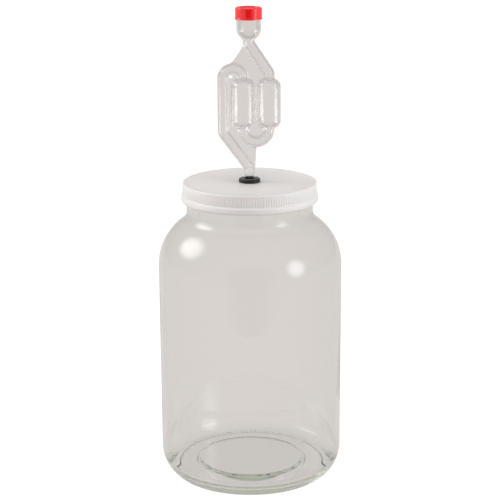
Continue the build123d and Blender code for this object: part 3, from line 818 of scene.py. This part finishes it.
def studio_world():
    """Pale walls with a darker gap in front that only mirrors show, and a white backdrop."""
    world = bpy.data.worlds.new("studio")
    bpy.context.scene.world = world
    world.use_nodes = True
    world.node_tree.nodes.clear()
    direction = add(world, "ShaderNodeTexCoord").outputs["Generated"]
    forward = add(world, "ShaderNodeVectorMath", {0: direction}, operation="DOT_PRODUCT")
    forward.inputs[1].default_value = (0, -1, 0)
    gap = add(
        world, "ShaderNodeMapRange", {"Value": forward.outputs["Value"]},
        interpolation_type="SMOOTHSTEP", From_Min=GAP_EDGE, From_Max=GAP_CORE,
    ).outputs["Result"]
    shown = worked_out(world, "MULTIPLY", gap, mirrored(world))
    shade = add(world, "ShaderNodeMixRGB", {"Fac": shown}, Color1=WALLS, Color2=GAP)
    walls = add(world, "ShaderNodeBackground", {"Color": shade.outputs["Color"]})
    backdrop = add(world, "ShaderNodeBackground", Color=WHITE, Strength=BACKDROP_STRENGTH)
    seen = add(world, "ShaderNodeLightPath").outputs["Is Camera Ray"]
    both = add(world, "ShaderNodeMixShader", {
        "Fac": seen, 1: walls.outputs["Background"], 2: backdrop.outputs["Background"]
    })
    add(world, "ShaderNodeOutputWorld", {"Surface": both.outputs["Shader"]})


def soften_edges(lamp):
    """Fades a light's face out towards its edges, as a diffuser does."""
    lamp.use_nodes = True
    face = add(lamp, "ShaderNodeNewGeometry").outputs["Parametric"]
    centred = add(lamp, "ShaderNodeVectorMath", {0: face}, operation="SUBTRACT")
    centred.inputs[1].default_value = (0.5, 0.5, 0)
    reach = add(lamp, "ShaderNodeVectorMath", {0: centred.outputs["Vector"]}, operation="LENGTH")
    fade = add(
        lamp, "ShaderNodeMapRange", {"Value": reach.outputs["Value"]},
        interpolation_type="SMOOTHSTEP", From_Min=LIGHT_FADE_END, From_Max=LIGHT_FADE_START,
    )
    emission = lamp.node_tree.nodes["Emission"]
    lamp.node_tree.links.new(fade.outputs["Result"], emission.inputs["Strength"])


def softbox(
    name, azimuth, elevation, width, height, radiance, seen=True, distance=2.2, colour=(1, 1, 1)
):
    """Area light round the object. Azimuth 0 is at the camera and 90 on the object's right.

    A seen one shows in glass as a soft-edged patch, and any other only lights plain surfaces.
    """
    a, e = math.radians(azimuth), math.radians(elevation)
    towards = Vector((math.sin(a) * math.cos(e), -math.cos(a) * math.cos(e), math.sin(e)))
    lamp = bpy.data.lights.new(name, "AREA")
    lamp.shape, lamp.size, lamp.size_y = "RECTANGLE", width, height
    lamp.energy, lamp.color = radiance * math.pi * width * height, colour
    light = bpy.data.objects.new(name, lamp)
    light.location = Vector(LIGHTS_AIM_AT) + towards * distance
    light.rotation_mode = "QUATERNION"
    light.rotation_quaternion = towards.to_track_quat("Z", "Y")
    light.visible_camera = False
    light.visible_glossy = light.visible_transmission = seen
    bpy.context.scene.collection.objects.link(light)
    if seen:
        soften_edges(lamp)
    return light


def only_lights(light, pieces):
    """Keeps a light off everything but the pieces, as a flag on a stand does.

    Clear pieces mirror it, and a straight look through them misses it.
    """
    reached = bpy.data.collections.new(light.name + "_reaches")
    for piece in pieces:
        reached.objects.link(piece)
    light.light_linking.receiver_collection = reached
    lamp = light.data
    light_path = add(lamp, "ShaderNodeLightPath").outputs
    refractions_allowed = worked_out(lamp, "MULTIPLY_ADD", light_path["Glossy Depth"], ANY_NUMBER, 0.5)
    shown = worked_out(lamp, "LESS_THAN", light_path["Transmission Depth"], refractions_allowed)
    strength = lamp.node_tree.nodes["Emission"].inputs["Strength"]
    scaled = worked_out(lamp, "MULTIPLY", strength.links[0].from_socket, shown)
    lamp.node_tree.links.new(scaled, strength)


def camera():
    """Camera at the photograph's viewing angle."""
    data = bpy.data.cameras.new("camera")
    data.lens, data.sensor_width = CAMERA_LENS, CAMERA_SENSOR
    data.clip_start, data.clip_end = 0.05, 20
    eye = bpy.data.objects.new("camera", data)
    eye.location = CAMERA_PLACE
    tilt = Quaternion((1, 0, 0), math.radians(CAMERA_TILT_DEG))
    roll = Quaternion((0, 0, 1), math.radians(CAMERA_ROLL_DEG))
    eye.rotation_mode = "QUATERNION"
    eye.rotation_quaternion = tilt @ roll
    bpy.context.scene.collection.objects.link(eye)
    bpy.context.scene.camera = eye


pale_floor()
studio_world()
softbox("softbox_left", -99, 32, 2.0, 1.7, 3.2)
softbox("softbox_right", 60, 12, 1.3, 1.6, 3.0, colour=(0.97, 1.0, 1.02))
softbox("fill_left", -88, 8, 1.2, 1.2, 3.0, seen=False)
softbox("fill_right", 82, 5, 1.2, 1.2, 3.5, seen=False, colour=(0.93, 1.0, 1.06))
softbox("fill_top", 10, 80, 1.2, 1.2, 2.1, seen=False)
only_lights(softbox("panel_left", -78, -8, 0.8, 0.4, 4.2, distance=0.75), [tubes, cap])
only_lights(softbox("panel_right", 78, -8, 0.8, 0.4, 4.6, distance=0.75), [tubes, cap])
camera()

scene = bpy.context.scene
scene.view_settings.view_transform = "Standard"
scene.cycles.max_bounces = scene.cycles.transmission_bounces = LIGHT_BOUNCES
scene.cycles.glossy_bounces = LIGHT_BOUNCES
